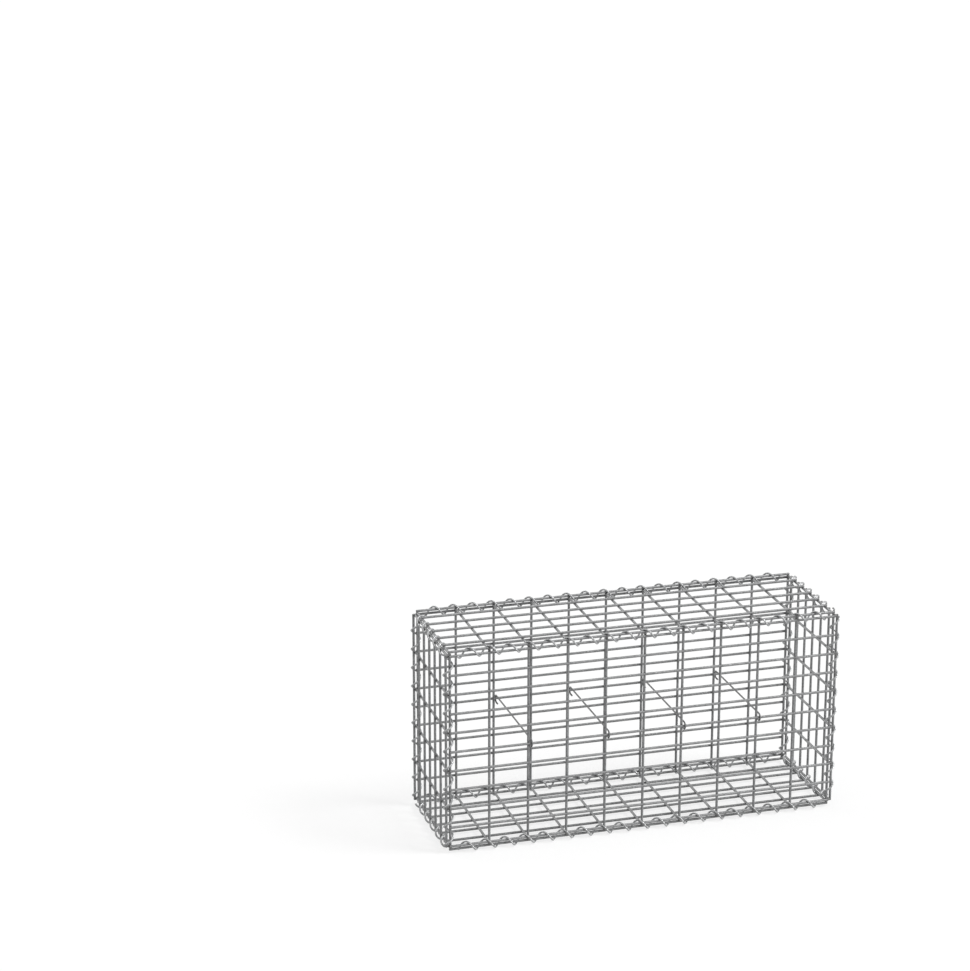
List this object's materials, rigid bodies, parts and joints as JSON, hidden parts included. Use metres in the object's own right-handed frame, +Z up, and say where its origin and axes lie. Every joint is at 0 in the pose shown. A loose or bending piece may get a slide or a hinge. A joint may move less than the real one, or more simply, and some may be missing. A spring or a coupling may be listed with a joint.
{
  "type": "gabion basket",
  "caption": "Empty rectangular gabion basket of welded wire mesh, laced shut along every edge by spiral binders, with hooked cross ties between front and back.",
  "frame": {"origin": "middle of the footprint, on the ground", "axes": "+X along the basket's length, +Y from the front to the back, +Z up"},
  "size_m": [1.0388, 0.3342, 0.5372],
  "materials": {
    "mesh_wire": "dull galvanised",
    "binder_wire": "dull galvanised",
    "tie_wire": "dull galvanised"
  },
  "bodies": {
    "root": {"front_panel": "mesh_wire", "back_panel": "mesh_wire", "left_panel": "mesh_wire", "right_panel": "mesh_wire", "base_panel": "mesh_wire", "lid_panel": "mesh_wire", "binder_front_base": "binder_wire", "binder_back_base": "binder_wire", "binder_left_base": "binder_wire", "binder_right_base": "binder_wire", "binder_front_top": "binder_wire", "binder_back_top": "binder_wire", "binder_left_top": "binder_wire", "binder_right_top": "binder_wire", "binder_front_left": "binder_wire", "binder_back_left": "binder_wire", "binder_front_right": "binder_wire", "binder_back_right": "binder_wire", "cross_tie_1": "tie_wire", "cross_tie_2": "tie_wire", "cross_tie_3": "tie_wire", "cross_tie_4": "tie_wire"}
  },
  "joints": []
}
